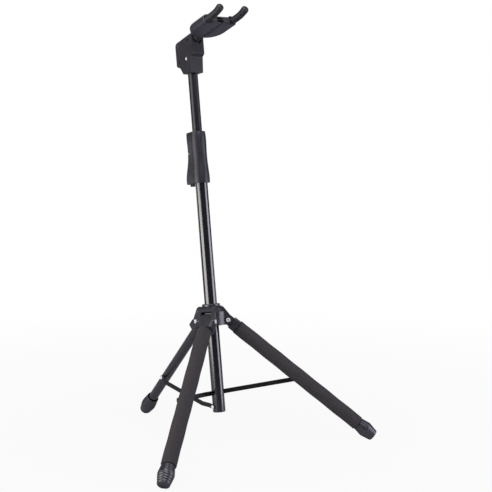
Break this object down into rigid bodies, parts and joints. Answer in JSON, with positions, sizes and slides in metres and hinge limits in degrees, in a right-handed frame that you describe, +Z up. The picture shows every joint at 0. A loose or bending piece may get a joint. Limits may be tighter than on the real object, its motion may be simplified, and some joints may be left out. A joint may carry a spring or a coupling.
{
  "type": "guitar stand",
  "caption": "Folding tripod floor stand that hangs a guitar by its neck in a swivelling yoke with self-closing arms, on a telescopic mast with a squeeze-trigger height clutch.",
  "frame": {"origin": "on the floor, under the middle of the stand's bounding box", "axes": "+Z up, +X forward between the two padded legs, +Y towards the front right leg"},
  "size_m": [0.533, 0.5836, 0.957],
  "materials": {
    "black_tube": "gloss black",
    "black_strap": "satin black",
    "black_plastic": "fine grain",
    "foam": "matte foam",
    "rubber": "satin",
    "steel": "bright plated",
    "lever_metal": "satin black"
  },
  "bodies": {
    "mast": {"mast_tube": "black_tube", "mast_plug": "black_plastic", "mast_rivets": "steel", "clutch_core": "black_plastic", "grip": "black_plastic", "trigger_pin": "steel", "clutch_collet": "black_plastic", "trigger_spring": "steel"},
    "hub": {"hub_body": "black_plastic", "hub_bush": "black_plastic", "leg_pins": "steel"},
    "trigger": {"trigger": "black_plastic"},
    "inner": {"inner_tube": "black_tube", "inner_guide": "black_plastic", "head_housing": "black_plastic", "head_cover": "black_plastic", "head_bolt": "steel", "head_nut": "steel", "lever_pin": "steel", "lever_spring": "steel"},
    "lever": {"yoke_lever": "lever_metal", "stem_clip": "steel"},
    "yoke": {"yoke_tub": "black_plastic", "yoke_cover": "black_plastic", "arm_pins": "steel", "arm_spring": "steel"},
    "leg_front_left": {"knuckle_front_left": "black_plastic", "leg_tube_front_left": "black_tube", "foot_front_left": "rubber", "brace_boss_front_left": "black_plastic", "foam_front_left": "foam"},
    "brace_front_left": {"brace_front_left": "black_strap", "brace_rivet_front_left": "steel"},
    "leg_front_right": {"knuckle_front_right": "black_plastic", "leg_tube_front_right": "black_tube", "foot_front_right": "rubber", "brace_boss_front_right": "black_plastic", "foam_front_right": "foam"},
    "brace_front_right": {"brace_front_right": "black_strap", "brace_rivet_front_right": "steel"},
    "leg_rear": {"knuckle_rear": "black_plastic", "leg_tube_rear": "black_tube", "foot_rear": "rubber", "brace_boss_rear": "black_plastic"},
    "brace_rear": {"brace_rear": "black_strap", "brace_rivet_rear": "steel"},
    "arm_left": {"arm_left": "lever_metal", "arm_sleeve_left": "rubber", "arm_pad_left": "rubber"},
    "arm_right": {"arm_right": "lever_metal", "arm_sleeve_right": "rubber", "arm_pad_right": "rubber"}
  },
  "joints": [
    {"name": "tripod_fold", "type": "slide", "parent": "mast", "child": "hub", "axis": [-0.1288, 0, 0.9917], "range_m": [0, 0.24]},
    {"name": "leg_front_left_hinge", "type": "hinge", "parent": "hub", "child": "leg_front_left", "pos_m": [0.04766, -0.02933, 0.27208], "axis": [0.8192, 0.5635, 0.1064], "range_deg": [0, 46.7]},
    {"name": "brace_front_left_hinge", "type": "hinge", "parent": "mast", "child": "brace_front_left", "pos_m": [0.04882, 0, 0.10786], "axis": [-0.8192, -0.5635, -0.1064], "range_deg": [0, 74.55]},
    {"name": "leg_front_right_hinge", "type": "hinge", "parent": "hub", "child": "leg_front_right", "pos_m": [0.04766, 0.02933, 0.27208], "axis": [-0.8192, 0.5635, -0.1064], "range_deg": [0, 46.7]},
    {"name": "brace_front_right_hinge", "type": "hinge", "parent": "mast", "child": "brace_front_right", "pos_m": [0.04882, 0, 0.10786], "axis": [0.8192, -0.5635, 0.1064], "range_deg": [0, 74.55]},
    {"name": "leg_rear_hinge", "type": "hinge", "parent": "hub", "child": "leg_rear", "pos_m": [-0.00738, 0, 0.26493], "axis": [0, -1, 0], "range_deg": [0, 51.6]},
    {"name": "brace_rear_hinge", "type": "hinge", "parent": "mast", "child": "brace_rear", "pos_m": [0.05255, 0, 0.0791], "axis": [0, 1, 0], "range_deg": [0, 65.57]},
    {"name": "height_slide", "type": "slide", "parent": "mast", "child": "inner", "axis": [-0.1288, 0, 0.9917], "range_m": [-0.12, 0.19]},
    {"name": "trigger_squeeze", "type": "hinge", "parent": "mast", "child": "trigger", "pos_m": [-0.04354, 0, 0.6404], "axis": [0, -1, 0], "range_deg": [0, 5], "stiffness_Nm_per_rad": 2, "springref_deg": -5.73, "deforming": ["trigger_spring"]},
    {"name": "yoke_tilt", "type": "hinge", "parent": "inner", "child": "lever", "pos_m": [-0.07966, 0, 0.88125], "axis": [0, 1, 0], "range_deg": [0, 4], "stiffness_Nm_per_rad": 6, "springref_deg": -11.46, "deforming": ["lever_spring", "arm_spring"]},
    {"name": "yoke_swivel", "type": "hinge", "parent": "lever", "child": "yoke", "pos_m": [-0.02488, 0, 0.90047], "axis": [0.9489, 0, 0.3156], "range_deg": [-20, 20]},
    {"name": "arm_left_close", "type": "hinge", "parent": "yoke", "child": "arm_left", "pos_m": [0.04913, -0.03, 0.92509], "axis": [-0.3156, 0, 0.9489], "range_deg": [0, 18]},
    {"name": "arm_right_close", "type": "hinge", "parent": "yoke", "child": "arm_right", "pos_m": [0.04913, 0.03, 0.92509], "axis": [0.3156, 0, -0.9489], "range_deg": [0, 18]}
  ],
  "couplings": [
    {"joint": "leg_front_left_hinge", "follows": "tripod_fold", "rad_per_m": 3.3961},
    {"joint": "brace_front_left_hinge", "follows": "tripod_fold", "rad_per_m": 5.4213},
    {"joint": "leg_front_right_hinge", "follows": "tripod_fold", "rad_per_m": 3.3961},
    {"joint": "brace_front_right_hinge", "follows": "tripod_fold", "rad_per_m": 5.4213},
    {"joint": "leg_rear_hinge", "follows": "tripod_fold", "rad_per_m": 3.7525},
    {"joint": "brace_rear_hinge", "follows": "tripod_fold", "rad_per_m": 4.7681},
    {"joint": "arm_left_close", "follows": "yoke_tilt", "ratio": 4.5},
    {"joint": "arm_right_close", "follows": "yoke_tilt", "ratio": 4.5}
  ]
}
